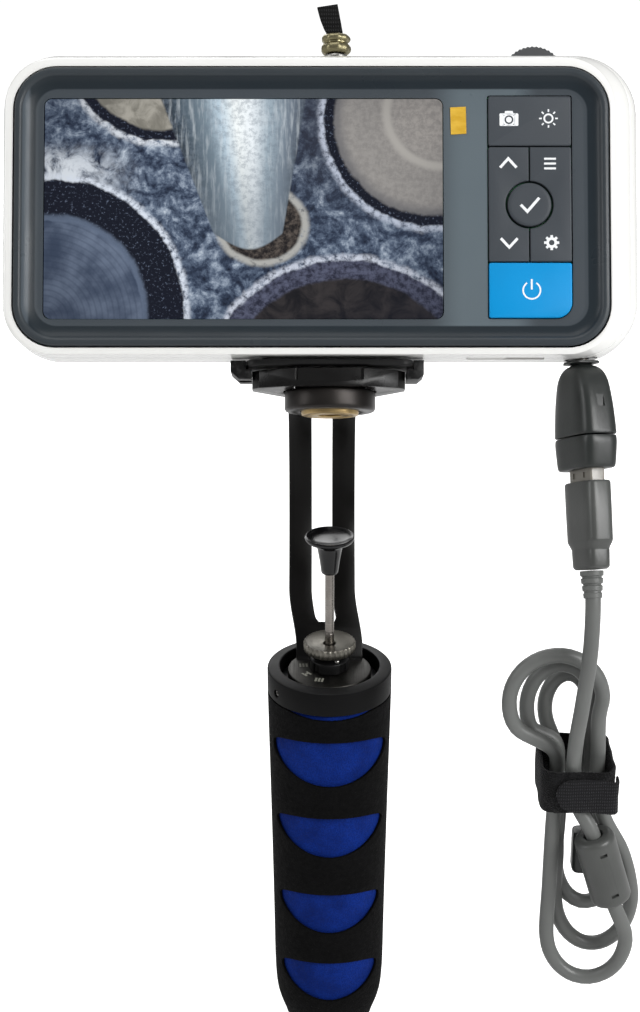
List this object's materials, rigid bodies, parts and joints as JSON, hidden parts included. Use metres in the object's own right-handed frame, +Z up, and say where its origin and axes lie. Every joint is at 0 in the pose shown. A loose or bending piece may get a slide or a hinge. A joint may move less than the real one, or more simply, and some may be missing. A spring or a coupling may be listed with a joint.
{
  "type": "guide camera",
  "caption": "Hand-held inspection camera display with side keys, clamped by a quick-release plate to a slotted arm on a foam-grip handle with a plunger, with a bundled lead.",
  "frame": {"origin": "centre of the flat underside of the handle's end cap", "axes": "+Z up the handle's axis, -Y towards the user who faces the screen, +X to the user's right"},
  "size_m": [0.1831, 0.09, 0.3165],
  "materials": {
    "shell": "white moulded housing, satin to gloss",
    "bezel": "slate blue-grey, fine satin",
    "keys": "dark grey soft-touch keys",
    "blue_key": "bright blue power key",
    "screen": "clear cover over the display",
    "display": "liquid crystal panel",
    "board": "green circuit board",
    "cell": "sleeved battery cells",
    "label": "gold sticker",
    "rubber": "dark grey rubber",
    "black_metal": "black anodised, satin",
    "black_plastic": "black, polished",
    "steel": "turned steel",
    "brass": "turned brass",
    "foam_black": "black closed-cell foam",
    "foam_blue": "blue closed-cell foam",
    "cord": "grey cable jacket and moulded plugs",
    "webbing": "black woven webbing and hook-and-loop tape",
    "lens": "coated lens"
  },
  "bodies": {
    "handle": {"handle_collar": "black_metal", "collar_set_screw": "steel", "handle_core": "steel", "guide_bush": "brass", "grip_inner": "foam_blue", "grip_outer": "foam_black", "spring_seat": "steel", "hub": "black_plastic", "return_spring": "steel"},
    "end_cap": {"end_cap": "black_metal"},
    "lock_wheel": {"lock_wheel": "steel"},
    "plunger": {"plunger_rod": "steel", "plunger_cap": "black_plastic"},
    "arm": {"slotted_arm": "black_metal", "clamp_base": "black_metal", "fixed_jaw": "black_metal", "clamp_stud": "steel", "brass_insert": "brass"},
    "neck_nut": {"neck_nut": "black_metal"},
    "moving_jaw": {"moving_jaw": "black_metal"},
    "display": {"rear_shell": "shell", "front_bezel": "bezel", "screen_window": "screen", "lcd_panel": "display", "main_board": "board", "battery_pack": "cell", "key_board": "board", "status_label": "label", "card_socket": "steel", "jack_socket": "black_plastic", "lanyard_post": "steel", "sensor_board": "board", "shell_screw_1": "steel", "shell_screw_2": "steel", "shell_screw_3": "steel", "shell_screw_4": "steel", "plate_pad": "rubber", "quick_plate": "black_metal"},
    "plate_screw": {"plate_screw": "steel"},
    "photo_light_key": {"key_photo_light": "keys"},
    "up_down_key": {"key_up_down": "keys"},
    "menu_settings_key": {"key_menu_settings": "keys"},
    "ok_key": {"key_ok": "keys"},
    "power_key": {"key_power": "blue_key"},
    "focus_wheel": {"focus_wheel": "rubber"},
    "lens": {"lens_barrel": "black_plastic", "lens_glass": "lens"},
    "card_flap": {"card_flap": "rubber"},
    "lanyard": {"lanyard_ferrule": "brass", "lanyard_strap": "webbing"},
    "adapter": {"adapter_tip": "steel", "adapter_shell": "cord", "adapter_cap": "cord"},
    "plug": {"usb_shell": "steel", "plug_body": "cord", "strain_relief": "cord", "cable": "cord", "cable_tie": "webbing", "ferrite_core": "cord", "far_plug": "cord"}
  },
  "joints": [
    {"name": "arm_swivel", "type": "hinge", "parent": "handle", "child": "arm", "pos_m": [0, 0, 0.132], "axis": [0, 0, 1], "range_deg": [-90, 90]},
    {"name": "end_cap_turn", "type": "hinge", "parent": "handle", "child": "end_cap", "pos_m": [0, 0, 0], "axis": [0, 0, 1], "continuous": true},
    {"name": "lock_wheel_turn", "type": "hinge", "parent": "handle", "child": "lock_wheel", "pos_m": [0, 0, 0.132], "axis": [0, 0, 1], "continuous": true},
    {"name": "plunger_press", "type": "slide", "parent": "handle", "child": "plunger", "axis": [0, 0, -1], "range_m": [0, 0.018], "stiffness_N_per_m": 250, "springref_m": -0.004, "deforming": ["return_spring"]},
    {"name": "neck_nut_turn", "type": "hinge", "parent": "arm", "child": "neck_nut", "pos_m": [0, 0.00135, 0.21518], "axis": [0, 0.4509, 0.8926], "continuous": true},
    {"name": "jaw_release", "type": "slide", "parent": "arm", "child": "moving_jaw", "axis": [-1, 0, 0], "range_m": [0, 0.003]},
    {"name": "plate_slide", "type": "slide", "parent": "arm", "child": "display", "axis": [0, 0.8926, -0.4509], "range_m": [0, 0.022]},
    {"name": "plate_screw_turn", "type": "hinge", "parent": "display", "child": "plate_screw", "pos_m": [0, 0.00273, 0.22456], "axis": [0, 0.4509, 0.8926], "continuous": true},
    {"name": "photo_light_rock", "type": "hinge", "parent": "display", "child": "photo_light_key", "pos_m": [0.055, 0.02312, 0.28933], "axis": [0, 0.4509, 0.8926], "range_deg": [-2.5, 2.5]},
    {"name": "up_down_rock", "type": "hinge", "parent": "display", "child": "up_down_key", "pos_m": [0.049, 0.01266, 0.26862], "axis": [1, 0, 0], "range_deg": [-2, 2]},
    {"name": "menu_settings_rock", "type": "hinge", "parent": "display", "child": "menu_settings_key", "pos_m": [0.06, 0.01266, 0.26862], "axis": [1, 0, 0], "range_deg": [-2, 2]},
    {"name": "ok_press", "type": "slide", "parent": "display", "child": "ok_key", "axis": [0, 0.8926, -0.4509], "range_m": [0, 0.0006], "stiffness_N_per_m": 900, "springref_m": -0.0002},
    {"name": "power_press", "type": "slide", "parent": "display", "child": "power_key", "axis": [0, 0.8926, -0.4509], "range_m": [0, 0.0006], "stiffness_N_per_m": 900, "springref_m": -0.0002},
    {"name": "focus_turn", "type": "hinge", "parent": "display", "child": "focus_wheel", "pos_m": [0.0581, 0.04886, 0.29593], "axis": [0, 0.8926, -0.4509], "range_deg": [-66, 66]},
    {"name": "lens_focus", "type": "slide", "parent": "display", "child": "lens", "axis": [0, 0.8926, -0.4509], "range_m": [-0.0011, 0.0011]},
    {"name": "card_flap_open", "type": "hinge", "parent": "display", "child": "card_flap", "pos_m": [0.0434, 0.00087, 0.22775], "axis": [1, 0, 0], "range_deg": [0, 100]},
    {"name": "lanyard_swivel", "type": "hinge", "parent": "display", "child": "lanyard", "pos_m": [0.0017, 0.0442, 0.30445], "axis": [0, 0.4509, 0.8926], "continuous": true},
    {"name": "adapter_turn", "type": "hinge", "parent": "display", "child": "adapter", "pos_m": [0.0699, 0.00387, 0.22903], "axis": [-0.0401, 0.4505, 0.8919], "range_deg": [-20, 20]},
    {"name": "plug_pull", "type": "slide", "parent": "adapter", "child": "plug", "axis": [0.0401, -0.4505, -0.8919], "range_m": [0, 0.012]}
  ],
  "couplings": [
    {"joint": "focus_turn", "follows": "lens_focus", "rad_per_m": 952}
  ]
}
